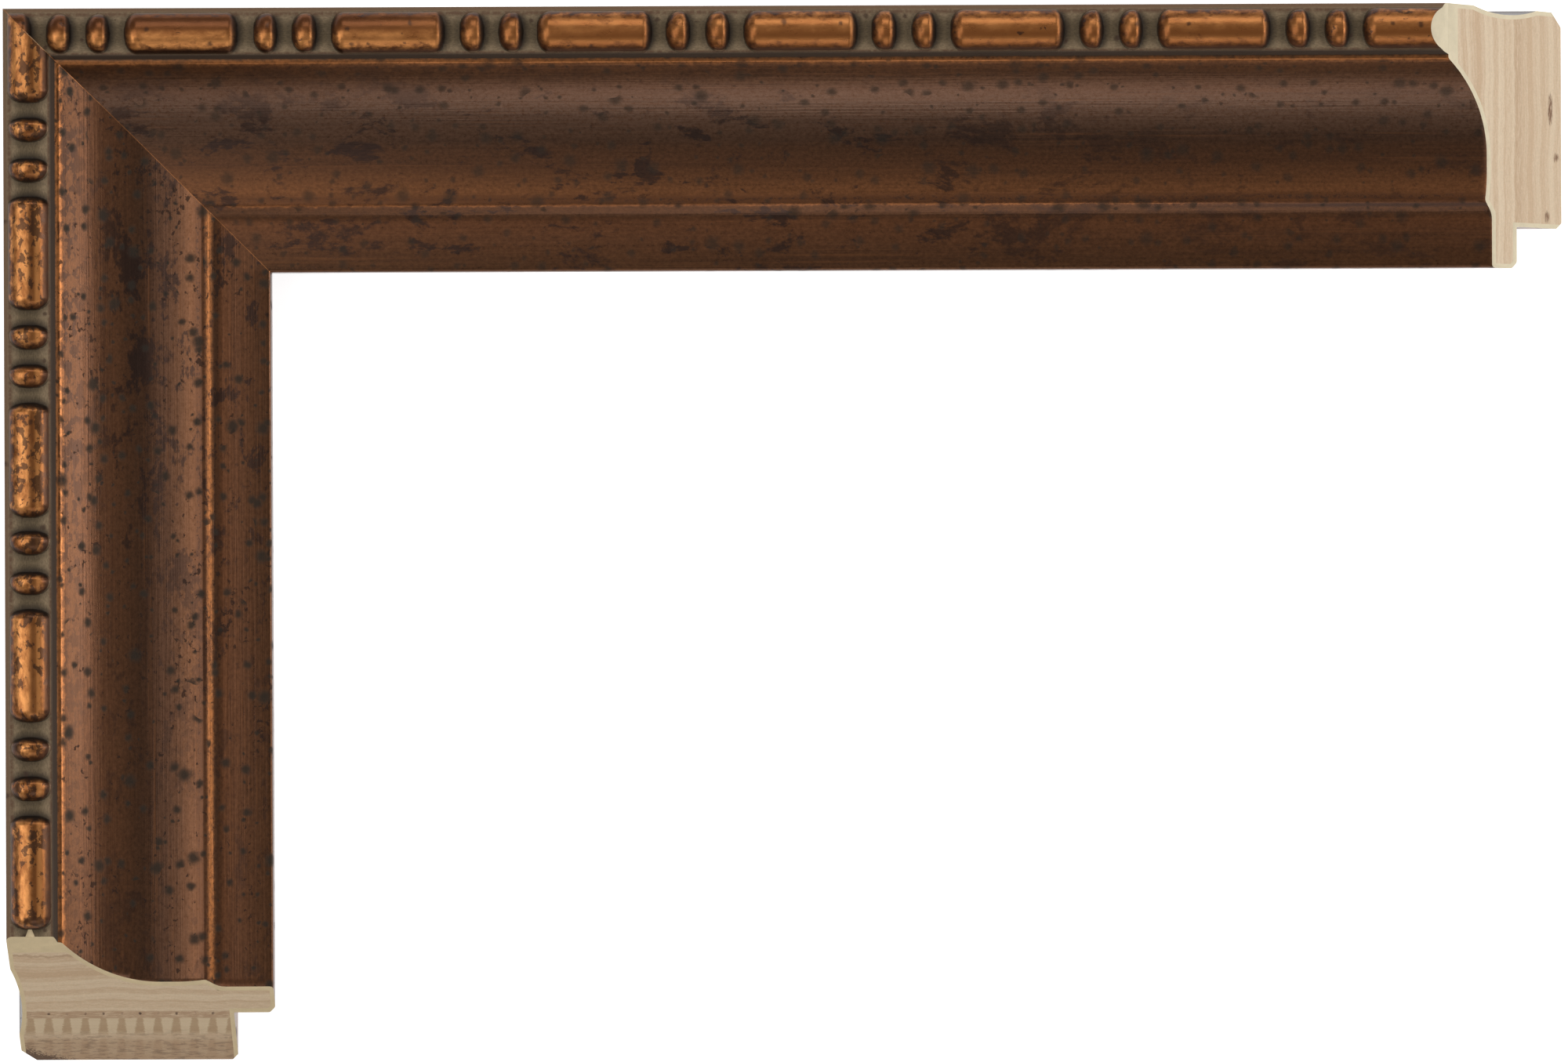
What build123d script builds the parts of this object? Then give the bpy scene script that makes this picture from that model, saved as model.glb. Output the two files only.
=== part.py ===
# Corner sample of picture frame moulding: two mitred lengths of coated wood moulding
# with a bar-and-bead ornament along the outer edge, both free ends sawn at a slope.
import os
from math import cos, radians, sin, sqrt
from build123d import *

os.makedirs("parts", exist_ok=True)

# Overall sizes, millimetres
long_leg_length = 323.5
short_leg_length = 218.4
moulding_width = 54.0
saw_angle = 45.0

# Face of the moulding, from the outer edge inwards
quirk_height = 26.4
rim_chamfer = 0.8
strip_rise = 1.3
strip_margin = 0.2
strip_side = 0.7
quirk_width = 0.8
cove_depth = 8.8
cove_run = 19.4
floor_run = 3.4
fillet_run = 6.0
fillet_rise = 0.45
step_run = 2.6
step_drop = 1.6
arris_round = 0.5
step_round = 2.0

# Sight lip and rabbet
lip_thickness = 5.8
rabbet_width = 8.7
sight_round = 0.8
sight_chamfer = 1.2

# Outer side and back
groove_low = 5.8
groove_high = 20.5
groove_depth = 1.4
back_chamfer_rise = 2.2
back_chamfer_run = 3.0
rabbet_chamfer = 1.2

# Composition coat over the wood
coat_thickness = 0.9
bed_thickness = 2.2

# Ornament: turned bars and pairs of beads
ornament_radius = 4.8
ornament_rise = 2.7
bar_length = 22.5
bar_easing = 2.4
bead_length = 4.4
bead_radius = 4.6
bead_easing = 1.7
easing_knee = 0.3
ornament_gap = 3.7
long_leg_first_bar = 36.4
short_leg_first_bar = 7.8

# Positions that follow from the sizes above
strip_top = quirk_height + strip_rise
half_chord = sqrt(2 * ornament_radius * ornament_rise - ornament_rise**2)
strip_width = 2 * (half_chord + strip_margin)
strip_centre = rim_chamfer + strip_width / 2
strip_inner = rim_chamfer + strip_width
quirk_outer = strip_inner + strip_side
cove_start = quirk_outer + quirk_width
cove_bottom = cove_start + cove_run
floor_end = cove_bottom + floor_run
arris = floor_end + fillet_run
lip_start = arris + step_run
cove_floor = quirk_height - cove_depth
arris_height = cove_floor + fillet_rise
lip_height = arris_height - step_drop
ledge_height = lip_height - lip_thickness
rabbet_wall = moulding_width - rabbet_width
bed_height = quirk_height - bed_thickness
axis_height = strip_top + ornament_rise - ornament_radius
repeat = bar_length + 2 * bead_length + 3 * ornament_gap
first_bead = bar_length / 2 + ornament_gap + bead_length / 2
second_bead = first_bead + bead_length + ornament_gap
overrun = 5.0

# Outer corner of the mitre, on the floor
corner = Vector(-long_leg_length / 2, short_leg_length / 2, 0)
mitre = Plane(origin=corner, z_dir=(1, 1, 0))

# Section of the coated moulding: across from the outer edge, up from the back
with BuildSketch() as coated_section:
    with BuildLine():
        Line((0, -coat_thickness), (0, groove_low))
        ThreePointArc((0, groove_low), (groove_depth, (groove_low + groove_high) / 2), (0, groove_high))
        Polyline(
            (0, groove_high),
            (0, strip_top - rim_chamfer),
            (rim_chamfer, strip_top),
            (strip_inner, strip_top),
            (quirk_outer, quirk_height),
            (cove_start, quirk_height),
        )
        TangentArc((cove_bottom, cove_floor), (cove_start, quirk_height), tangent=(-1, 0))
        Line((cove_bottom, cove_floor), (floor_end, cove_floor))
        TangentArc((floor_end, cove_floor), (arris, arris_height), tangent=(1, 0))
        Polyline(
            (arris, arris_height),
            (lip_start, lip_height),
            (moulding_width, lip_height),
            (moulding_width, ledge_height),
            (rabbet_wall, ledge_height),
            (rabbet_wall, -coat_thickness),
            (0, -coat_thickness),
        )
    make_face()
    fillet(coated_section.vertices().sort_by_distance((arris, arris_height))[0], arris_round)
    fillet(coated_section.vertices().sort_by_distance((lip_start, lip_height))[0], step_round)
    fillet(coated_section.vertices().sort_by_distance((moulding_width, lip_height))[0], sight_round)
    chamfer(coated_section.vertices().sort_by_distance((moulding_width, ledge_height))[0], sight_chamfer)

# Waste taken off at the back: below the floor, and the two long back edges
with BuildSketch() as back_waste:
    with BuildLine():
        Polyline(
            (-overrun, -overrun),
            (-overrun, back_chamfer_rise),
            (0, back_chamfer_rise),
            (back_chamfer_run, 0),
            (rabbet_wall - rabbet_chamfer, 0),
            (rabbet_wall, rabbet_chamfer),
            (moulding_width, rabbet_chamfer),
            (moulding_width, -overrun),
            close=True,
        )
    make_face()

# Section of the bare wood: the coated section sunk by the coat, flat under the ornament
with BuildSketch() as wood_section:
    add(coated_section.sketch)
    offset(amount=-coat_thickness, kind=Kind.INTERSECTION)
    with Locations((0, bed_height)):
        Rectangle(cove_bottom, strip_top, align=(Align.MIN, Align.MIN), mode=Mode.SUBTRACT)
    add(back_waste.sketch, mode=Mode.SUBTRACT)


# One length of bare wood, mitred at the corner and sawn at its free end
def wood_length(run, way, length, side):
    saw = saw_plane(run, way, length)
    with BuildPart() as wood:
        with BuildSketch(run.offset(-way * overrun)):
            add(wood_section.sketch)
        extrude(amount=way * (length + 2 * overrun))
        split(bisect_by=mitre, keep=side)
        split(bisect_by=saw, keep=Keep.BOTTOM)
    return wood


# Half outline of one turned bar or bead on its axis, each end eased by two bevels
def turned_outline(centre, length, radius, easing):
    knee = easing * easing_knee
    steps = [(0, radius - easing), (knee, radius - knee), (easing, radius)]
    left = centre - length / 2
    right = centre + length / 2
    rising = [(left + run_in, height) for run_in, height in steps]
    falling = [(right - run_in, height) for run_in, height in reversed(steps)]
    Polyline((left, 0), *rising, *falling, (right, 0), close=True)


# Its coat, with the ornament standing on the outer strip
def coat_length(run, way, length, side, first_bar, wood):
    saw = saw_plane(run, way, length)
    along = run.z_dir * way
    start = corner + run.x_dir * strip_centre + run.y_dir * axis_height
    turning = Plane(origin=start, x_dir=along, z_dir=along.cross(run.y_dir))
    bars = [first_bar + repeat * i for i in range(-1, int(length / repeat) + 1)]
    beads = [bar + shift for bar in bars for shift in (first_bead, second_bead)]
    with BuildPart() as coat:
        with BuildSketch(turning):
            for bar in bars:
                with BuildLine():
                    turned_outline(bar, bar_length, ornament_radius, bar_easing)
                make_face()
            for bead in beads:
                with BuildLine():
                    turned_outline(bead, bead_length, bead_radius, bead_easing)
                make_face()
        revolve(axis=Axis(start, along))
        split(bisect_by=Plane.XY.offset(quirk_height), keep=Keep.TOP)
        with BuildSketch(run.offset(-way * overrun)):
            add(coated_section.sketch)
            add(back_waste.sketch, mode=Mode.SUBTRACT)
        extrude(amount=way * (length + 2 * overrun))
        split(bisect_by=mitre, keep=side)
        split(bisect_by=saw, keep=Keep.BOTTOM)
        add(wood.part, mode=Mode.SUBTRACT)
    return coat


# The sloping saw cut: it meets the floor at the full length and leans back as it rises
def saw_plane(run, way, length):
    along = run.z_dir * way
    slope = along * cos(radians(saw_angle)) + run.y_dir * sin(radians(saw_angle))
    return Plane(origin=corner + along * length, z_dir=slope)


# Long leg: along +X, outer edge towards +Y
long_run = Plane(origin=corner, x_dir=(0, -1, 0), z_dir=(-1, 0, 0))
long_wood = wood_length(long_run, -1, long_leg_length, Keep.TOP)
long_wood.part.label = "long_leg_wood"
export_step(long_wood.part, "parts/long_leg_wood.step")

long_coat = coat_length(long_run, -1, long_leg_length, Keep.TOP, long_leg_first_bar, long_wood)
long_coat.part.label = "long_leg_coat"
export_step(long_coat.part, "parts/long_leg_coat.step")

# Short leg: along -Y, outer edge towards -X
short_run = Plane(origin=corner, x_dir=(1, 0, 0), z_dir=(0, -1, 0))
short_wood = wood_length(short_run, 1, short_leg_length, Keep.BOTTOM)
short_wood.part.label = "short_leg_wood"
export_step(short_wood.part, "parts/short_leg_wood.step")

short_coat = coat_length(short_run, 1, short_leg_length, Keep.BOTTOM, short_leg_first_bar, short_wood)
short_coat.part.label = "short_leg_coat"
export_step(short_coat.part, "parts/short_leg_coat.step")
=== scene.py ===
import bpy
import bmesh
import math
import numpy as np
from mathutils import Matrix, Vector


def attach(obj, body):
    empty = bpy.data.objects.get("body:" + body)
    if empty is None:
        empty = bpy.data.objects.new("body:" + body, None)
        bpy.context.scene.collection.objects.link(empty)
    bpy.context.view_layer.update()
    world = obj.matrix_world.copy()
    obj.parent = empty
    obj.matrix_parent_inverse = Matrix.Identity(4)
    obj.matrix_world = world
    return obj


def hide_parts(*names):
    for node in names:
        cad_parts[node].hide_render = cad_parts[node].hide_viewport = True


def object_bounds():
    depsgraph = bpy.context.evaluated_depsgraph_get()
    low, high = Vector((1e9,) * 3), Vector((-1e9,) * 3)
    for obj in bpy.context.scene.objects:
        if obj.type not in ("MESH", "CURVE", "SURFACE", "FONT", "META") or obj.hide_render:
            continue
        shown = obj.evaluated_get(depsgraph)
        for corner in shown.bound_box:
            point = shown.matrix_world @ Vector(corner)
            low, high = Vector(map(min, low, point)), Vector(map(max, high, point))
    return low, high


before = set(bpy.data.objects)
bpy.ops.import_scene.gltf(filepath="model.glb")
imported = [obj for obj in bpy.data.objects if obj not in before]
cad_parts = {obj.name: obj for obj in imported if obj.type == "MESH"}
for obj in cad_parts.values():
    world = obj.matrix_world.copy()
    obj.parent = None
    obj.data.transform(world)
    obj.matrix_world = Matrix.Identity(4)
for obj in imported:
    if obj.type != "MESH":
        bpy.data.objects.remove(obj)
cadLow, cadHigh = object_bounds()
scene = bpy.context.scene
mm = 0.001
corner = Vector((cadLow.x, cadHigh.y, 0.0))  # outer corner of the mitre, on the floor
rng = np.random.default_rng(41)
print("frame loaded", [round(v / mm, 1) for v in cadHigh - cadLow], "mm")


# Screen colour, 0 to 255, as the shader's linear colour
def tone(red, green, blue):
    return tuple(((c / 255 + 0.055) / 1.055) ** 2.4 for c in (red, green, blue)) + (1.0,)


# Each leg has its own frame: x along it from the corner, y across it, z up
legs = {
    "long": {
        "length": (cadHigh.x - cadLow.x) / mm,
        "turn": 0.0,
        "hand": -1,  # which way across runs in the leg's own y
        "firstBar": 36.8,
        "washShadeSide": 1.0,  # the steeper front end of each bar, where the dark wash and painted shadow gather
        "seed": 3.0,
        "patchLevel": 0.54,
        "patchScales": (0.05, 0.14),
        "tatter": 0.16,
        "patchFade": (170.0, 250.0),  # along here the patina thins out
        "fleckLevel": 0.7,  # flecks show where their noise is above this
        "fleckCover": 0.45,
        "speckCover": 0.56,
        "speckMatt": 0.12,  # roughness added under specks and flecks
        "barFlecks": 0.66,
        "barWear": (0.2, 0.75),  # range of the noise that breaks up the gilt of the bars
        "barGiltAndHighlight": (4.6, 6.2, 0.0),  # gilt, partly a painted highlight: across where it begins and where it is full, its least
        "barHighlightTurn": (60.0, 130.0),  # along here the gilt and its painted highlight move over to the outer side, following the light
        "barShadeBand": (3.0, 3.4, 0.9),  # band of painted shade along the bars: centre, half width, strength
        "bareFlank": (8.3, 9.1),  # the inner flank of the bars darkens between these
        "ridgeFlecks": 0.2,
        "ridgeRub": (0.5, 0.5),  # half width and strength of the worn line on the ridge
        "arrisRubAndHighlight": (40.4, 0.35, 0.35),  # worn line on the arris, partly a painted highlight: centre, half width, strength
        "arrisOutOfLight": (225.0, 280.0),  # along here the arris leaves the light: its bright line fades and a line of painted shade comes in
        "hazeAndSheen": (20.5, 9.0, 0.36),  # grey bloom laid over the sheen band, partly painted sheen: centre and half width across, strength
        "cream": tone(221, 207, 177),
        "woodTint": (0.96, 0.96, 0.92, 1.0),
        "glueCover": 0.35,
        "fingers": False,
    },
    "short": {
        "length": (cadHigh.y - cadLow.y) / mm,
        "turn": -math.pi / 2,
        "hand": 1,
        "firstBar": 8.0,
        "washShadeSide": -1.0,
        "seed": 11.0,
        "patchLevel": 0.545,
        "patchScales": (0.08, 0.22),
        "tatter": 0.32,
        "patchFade": (80.0, 160.0),
        "fleckLevel": 0.63,
        "fleckCover": 0.75,
        "speckCover": 0.85,
        "speckMatt": 0.28,
        "barFlecks": 0.515,
        "barWear": (0.36, 0.66),
        "barGiltAndHighlight": (6.6, 4.0, 0.3),
        "barHighlightTurn": (300.0, 400.0),
        "barShadeBand": (6.1, 0.9, 0.45),
        "bareFlank": (7.9, 8.6),
        "ridgeFlecks": 0.7,
        "ridgeRub": (1.0, 0.85),
        "arrisRubAndHighlight": (41.25, 1.05, 0.88),
        "arrisOutOfLight": (300.0, 400.0),
        "hazeAndSheen": (36.0, 9.0, 0.16),
        "cream": tone(216, 194, 154),
        "woodTint": (0.96, 0.93, 0.845, 1.0),
        "glueCover": 0.75,
        "fingers": True,
    },
}

# Section of the moulding in millimetres, across from the outer edge and up from the back
moulding = {
    "width": 54.0,
    "quirkHeight": 26.4,
    "coveStart": 11.33,
    "coveDepth": 8.8,
    "coveRun": 19.4,
    "floorRun": 3.4,
    "filletRun": 6.0,
    "filletRise": 0.45,
    "stepRun": 2.6,
    "stepDrop": 1.6,
    "lipThickness": 5.8,
    "rabbetWidth": 8.7,
    "sightChamfer": 1.2,
    "grooveLow": 5.8,
    "grooveHigh": 20.5,
    "grooveDepth": 1.4,
    "backRise": 2.2,
    "backRun": 3.0,
    "rabbetChamfer": 1.2,
    "coat": 0.9,
    "bedHeight": 24.2,
    "grooveRound": 0.25,
    "ridgeRound": 0.55,
    "arrisRound": 0.7,
    "stepRound": 1.3,
    "sightRound": 0.8,
    "rabbetRound": 0.3,
    "grooveSteps": 14,
    "coveSteps": 30,
    "filletSteps": 6,
    "step": 2.0,  # between the rings of the sweep
    "sharp": 50.0,
}


# Points of an arc from start to end that leaves start along heading, end left out
def arcPoints(start, end, heading, steps):
    start, end, heading = np.array(start), np.array(end), np.array(heading, float)
    normal = np.array([-heading[1], heading[0]])
    chord = end - start
    radius = chord @ chord / (2 * (chord @ normal))
    centre = start + radius * normal
    first, last = start - centre, end - centre
    swing = math.atan2(first[0] * last[1] - first[1] * last[0], first @ last)
    turns = np.linspace(0, swing, steps, endpoint=False)
    return [
        (
            centre[0] + first[0] * math.cos(t) - first[1] * math.sin(t),
            centre[1] + first[0] * math.sin(t) + first[1] * math.cos(t),
            0.0,
        )
        for t in turns
    ]


# Outline of the coat from the outer back edge over the face to the rabbet: across, up, rounding
def coatOutline():
    m = moulding
    coveEnd = m["coveStart"] + m["coveRun"]
    coveFloor = m["quirkHeight"] - m["coveDepth"]
    floorEnd = coveEnd + m["floorRun"]
    arris = floorEnd + m["filletRun"]
    arrisHeight = coveFloor + m["filletRise"]
    lipStart = arris + m["stepRun"]
    lipHeight = arrisHeight - m["stepDrop"]
    ledge = lipHeight - m["lipThickness"]
    wall = m["width"] - m["rabbetWidth"]
    reach = (m["grooveHigh"] - m["grooveLow"]) / 2
    swing = 2 * math.atan(m["grooveDepth"] / reach)
    outline = [(0.0, m["backRise"], 0.0)]
    heading = (math.sin(swing), math.cos(swing))
    lead = arcPoints((0.0, m["grooveLow"]), (0.0, m["grooveHigh"]), heading, m["grooveSteps"])
    outline += [(p[0], p[1], m["grooveRound"] if i == 0 else 0.0) for i, p in enumerate(lead)]
    outline += [(0.0, m["grooveHigh"], m["grooveRound"]), (0.0, m["quirkHeight"], 0.0)]
    ridge = (m["coveStart"], m["quirkHeight"])
    cove = arcPoints((coveEnd, coveFloor), ridge, (-1, 0), m["coveSteps"])
    outline += [(*ridge, m["ridgeRound"])] + cove[:0:-1]
    outline += [(coveEnd, coveFloor, 0.0), (floorEnd - 1.5, coveFloor, 0.0)]
    outline += arcPoints((floorEnd, coveFloor), (arris, arrisHeight), (1, 0), m["filletSteps"])
    outline += [
        (arris, arrisHeight, m["arrisRound"]),
        (lipStart, lipHeight, m["stepRound"]),
        (lipStart + 4.0, lipHeight, 0.0),
        (m["width"], lipHeight, m["sightRound"]),
        (m["width"], ledge + m["sightChamfer"], m["rabbetRound"]),
        (m["width"] - m["sightChamfer"], ledge, m["rabbetRound"]),
        (wall, ledge, m["rabbetRound"]),
        (wall, m["rabbetChamfer"], 0.0),
    ]
    return outline


# The outline with each rounded corner replaced by a short curve
def easedOutline(outline, steps=4):
    points = []
    for i, (across, up, rounding) in enumerate(outline):
        here = np.array([across, up])
        if rounding == 0.0:
            points.append(here)
            continue
        before = np.array(outline[i - 1][:2]) - here
        after = np.array(outline[i + 1][:2]) - here
        first = here + before * min(rounding / np.linalg.norm(before), 0.48)
        last = here + after * min(rounding / np.linalg.norm(after), 0.48)
        for t in np.linspace(0, 1, steps + 1):
            points.append((1 - t) ** 2 * first + 2 * t * (1 - t) * here + t**2 * last)
    return np.array(points)


# The same outline sunk into the wood by the coat, with a flat bed under the ornament
def bedOutline(outline):
    points = np.array([p[:2] for p in outline])
    thickness, bed = moulding["coat"], moulding["bedHeight"]
    run = np.diff(points, axis=0)
    run /= np.linalg.norm(run, axis=1)[:, None]
    normals = np.column_stack([run[:, 1], -run[:, 0]])
    sunk = []
    for i in range(1, len(points) - 1):
        mean = normals[i - 1] + normals[i]
        sunk.append(points[i] + mean * 2 * thickness / (mean @ mean))
    sunk = np.array(sunk)
    foot = [thickness, moulding["backRise"] * (1 - thickness / moulding["backRun"])]
    heel = [points[-1][0] - thickness, moulding["rabbetChamfer"] - thickness]
    low = np.array([p for p in sunk if p[1] < bed])
    split = np.argmax(low[:, 0] > moulding["coveStart"] - 4.0)
    upper, lower = low[split], low[split + 1]
    risen = upper + (upper - lower) * (bed - upper[1]) / (upper[1] - lower[1])
    return np.vstack([[foot], low[:split], [[thickness, bed]], [risen], low[split:], [heel]])


# A closed ring of points swept along the leg, one ring for each station, as a bmesh
def sweepRings(rings, stations, hand):
    count = len(rings[0])
    verts = np.empty((len(stations), count, 3))
    verts[:, :, 0] = stations[:, None]
    verts[:, :, 1] = hand * rings[:, :, 0]
    verts[:, :, 2] = rings[:, :, 1]
    index = np.arange(len(stations) * count).reshape(len(stations), count)
    onward = np.roll(index, -1, axis=1)
    quads = np.stack([index[:-1], index[1:], onward[1:], onward[:-1]], axis=-1).reshape(-1, 4)
    mesh = bpy.data.meshes.new("sweep")
    mesh.from_pydata((verts * mm).reshape(-1, 3).tolist(), [], quads.tolist())
    work = bmesh.new()
    work.from_mesh(mesh)
    bpy.data.meshes.remove(mesh)
    return work


# Cuts the leg at the mitre and at the sloping saw cut; the cut faces take the second material
def sawEnds(work, leg):
    mitreNormal = Vector((1, -leg["hand"], 0)).normalized()
    sawNormal = Vector((-1, 0, -1)).normalized()
    cuts = [(Vector((0, 0, 0)), mitreNormal), (Vector((leg["length"] * mm, 0, 0)), sawNormal)]
    for place, normal in cuts:
        geometry = work.verts[:] + work.edges[:] + work.faces[:]
        cut = bmesh.ops.bisect_plane(
            work, geom=geometry, dist=1e-7, plane_co=place, plane_no=normal, clear_inner=True
        )
        edges = [g for g in cut["geom_cut"] if isinstance(g, bmesh.types.BMEdge)]
        filled = bmesh.ops.edgeloop_fill(work, edges=edges)
        for face in filled["faces"]:
            face.material_index = 1
    bmesh.ops.recalc_face_normals(work, faces=work.faces[:])


# Makes the piece from the bmesh, in the leg's own frame
def makePiece(name, work, leg, materials, sharp):
    mesh = bpy.data.meshes.new(name)
    work.to_mesh(mesh)
    work.free()
    piece = bpy.data.objects.new(name, mesh)
    scene.collection.objects.link(piece)
    piece.matrix_world = Matrix.Translation(corner) @ Matrix.Rotation(leg["turn"], 4, "Z")
    for material in materials:
        mesh.materials.append(material)
    mesh.polygons.foreach_set("use_smooth", [p.material_index == 0 for p in mesh.polygons])
    mesh.set_sharp_from_angle(angle=math.radians(sharp))
    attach(piece, "root")
    return piece


# Ornament string: bars and pairs of beads pressed on a low strip
string = {
    "stripTop": 27.7,
    "rim": 0.8,
    "inner": 9.83,
    "foot": 10.53,
    "centre": 5.316,
    "axis": 25.6,
    "bar": (23.3, 4.8, 2.7, 2.0, 3.1),  # length, radius, rounding of rear and steeper front end, drop
    "barUneven": (0.06, 0.12, -0.03),  # spread of place, length and radius
    "bead": (4.9, 4.62, 2.75, 1.75, 2.9),
    "beadUneven": (0.08, 0.1, 0.04),
    "repeat": 42.4,
    "beadAt": (17.15, 25.25),
    "footBlend": 0.3,
    "footSink": 0.02,
    "noPiece": -5.0,  # rise where there is neither bar nor bead
    "rimEase": (0.15, 0.5),
    "innerEase": 0.4,
    "topRun": (0.6, 0.5, 42),  # the flat top: in from the rim, in from the inner edge, points
    "topBand": 0.3,
    "step": 0.3,
    "overrun": 1.5,
    "sharp": 60.0,
    "washShadeSteps": (0.2, 0.45, 0.75, 1.05, 1.35, 1.65),  # reach of the dark wash and painted shadow beside each piece
    "washShadeStart": 0.1,
    "washShadeDepth": 0.55,
    # the painted shade behind each piece is this share of that in front
    "rearShade": 0.45,
}


# One bar or bead, a little uneven: centre, length, radius, rear, front, drop
def onePiece(centre, sizes, spread, draws):
    length, radius, *ends = sizes
    along, longer, wider = (share * draw for share, draw in zip(spread, draws))
    return centre + along, length + longer, radius + wider, *ends


# The bars and beads along one leg
def stringPieces(leg):
    s = string
    pieces = []
    for k in range(-1, int(leg["length"] / s["repeat"]) + 2):
        bar = leg["firstBar"] + k * s["repeat"]
        uneven = rng.normal(0, 1, 9)
        draws = uneven[0], uneven[1], abs(uneven[2])
        pieces.append(onePiece(bar, s["bar"], s["barUneven"], draws))
        for i, shift in enumerate(s["beadAt"]):
            pieces.append(onePiece(bar + shift, s["bead"], s["beadUneven"], uneven[3 + i :: 2]))
    return pieces


# Height of the ornament over the strip, in millimetres, for arrays of along and across
def stringRise(along, across, pieces, side):
    s = string
    best = np.full(np.broadcast(along, across).shape, s["noPiece"])
    for centre, length, radius, rear, front, drop in pieces:
        ahead = side * (along - centre)
        pastFront = np.clip((ahead - length / 2 + front) / front, 0, 1)
        pastRear = np.clip((-ahead - length / 2 + rear) / rear, 0, 1)
        past = np.maximum(pastFront, pastRear)
        turned = radius - drop + drop * np.sqrt(1 - past**2)
        inside = np.abs(ahead) < length / 2
        height = np.sqrt(np.maximum(turned**2 - (across - s["centre"]) ** 2, 0)) + s["axis"] - s["stripTop"]
        best = np.maximum(best, np.where(inside, height, s["noPiece"]))
    blend = s["footBlend"]
    return 0.5 * (best + np.sqrt(best**2 + blend**2)) - s["footSink"]


# Across and up of the strip's own outline, from the outer wall over the rim to the quirk
def stripOutline():
    s, low = string, moulding["quirkHeight"]
    lift, ease = s["rimEase"]
    rim = easedOutline(
        [
            (0.0, low, 0.0),
            (0.0, s["stripTop"] - s["rim"] + lift, ease),
            (s["rim"], s["stripTop"], ease),
            (s["centre"], s["stripTop"], 0.0),
        ]
    )[:-1]
    first, last, count = s["topRun"]
    flat = np.linspace(s["rim"] + first, s["inner"] - last, count)
    top = np.column_stack([flat, np.full(count, s["stripTop"])])
    edge = (s["inner"], s["stripTop"], s["innerEase"])
    side = easedOutline([(s["centre"], s["stripTop"], 0.0), edge, (s["foot"], low, 0.0)])[1:]
    return np.vstack([rim, top, side])


print("outlines ready")


def addNode(tree, kind, **settings):
    node = tree.nodes.new(kind)
    for key, value in settings.items():
        setattr(node, key, value)
    return node


# Links a socket to another one, or sets it to a plain value
def feed(socket, value):
    if isinstance(value, bpy.types.NodeSocket):
        socket.id_data.links.new(value, socket)
    else:
        socket.default_value = value


# The node tree that the sockets among some values are in
def treeOf(*values):
    return next(value.id_data for value in values if isinstance(value, bpy.types.NodeSocket))


# Fills the named inputs of a node and gives its outputs
def fill(node, values):
    for key, value in values.items():
        feed(node.inputs[key], value)
    return node.outputs


# Arithmetic on sockets and plain values
def sums(operation, first, second=0.0):
    node = addNode(treeOf(first, second), "ShaderNodeMath", operation=operation)
    feed(node.inputs[0], first)
    feed(node.inputs[1], second)
    return node.outputs[0]


def times(first, second):
    return sums("MULTIPLY", first, second)


def plus(first, second):
    return sums("ADD", first, second)


def minus(first, second):
    return sums("SUBTRACT", first, second)


def most(first, second):
    return sums("MAXIMUM", first, second)


def apart(first, second):
    return sums("ABSOLUTE", minus(first, second))


def scaled(value, factor, offset):
    return plus(times(value, factor), offset)


# A value moved either way by a noise, by half the reach at most
def swayed(value, noise, reach):
    return plus(value, times(minus(noise, 0.5), reach))


# 0 below low, 1 above high, smooth between
def rampUp(value, low, high):
    node = addNode(value.id_data, "ShaderNodeMapRange", interpolation_type="SMOOTHSTEP")
    return fill(node, {"Value": value, "From Min": low, "From Max": high})["Result"]


def mixTone(factor, first, second, mode="MIX"):
    tree = treeOf(factor, first, second)
    node = addNode(tree, "ShaderNodeMix", data_type="RGBA", blend_type=mode)
    feed(node.inputs[0], factor)
    feed(node.inputs[6], first)
    feed(node.inputs[7], second)
    return node.outputs[2]


# Lays a tone over a colour by a mask and an amount
def laid(under, over, mask, amount):
    return mixTone(times(mask, amount), under, over)


def noiseAt(vector, scale, detail=3.0, roughness=0.55, distortion=0.0):
    values = {"Vector": vector, "Scale": scale, "Detail": detail}
    values |= {"Roughness": roughness, "Distortion": distortion}
    return fill(addNode(vector.id_data, "ShaderNodeTexNoise"), values)[0]


# Stretches a place before a noise, and shifts it by a seed
def stretched(vector, scale, seed):
    shift = addNode(vector.id_data, "ShaderNodeVectorMath", operation="SCALE")
    feed(shift.inputs[0], (17.3, 5.1, 9.7))
    feed(shift.inputs["Scale"], seed)
    node = addNode(vector.id_data, "ShaderNodeVectorMath", operation="MULTIPLY_ADD")
    for socket, value in zip(node.inputs, (vector, scale, shift.outputs[0])):
        feed(socket, value)
    return node.outputs[0]


def toneRamp(value, stops):
    node = addNode(value.id_data, "ShaderNodeValToRGB")
    feed(node.inputs[0], value)
    ramp = node.color_ramp
    while len(ramp.elements) < len(stops):
        ramp.elements.new(1.0)
    for element, (place, colour) in zip(ramp.elements, stops):
        element.position = place
        element.color = colour
    return node.outputs[0]


groups = {}


# A new group: its inputs with their defaults, None for a vector, then its outputs
def startGroup(name, inputs, values=("Mask",), vectors=()):
    tree = bpy.data.node_groups.new(name, "ShaderNodeTree")
    groups[name] = tree
    for key, default in inputs.items():
        kind = "NodeSocketVector" if default is None else "NodeSocketFloat"
        socket = tree.interface.new_socket(name=key, in_out="INPUT", socket_type=kind)
        if default is not None:
            socket.default_value = default
    for keys, kind in ((values, "NodeSocketFloat"), (vectors, "NodeSocketVector")):
        for key in keys:
            tree.interface.new_socket(name=key, in_out="OUTPUT", socket_type=kind)
    return addNode(tree, "NodeGroupInput").outputs, addNode(tree, "NodeGroupOutput").inputs


def placeGroup(group, **values):
    tree = treeOf(*values.values())
    return fill(addNode(tree, "ShaderNodeGroup", node_tree=groups[group]), values)


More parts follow.
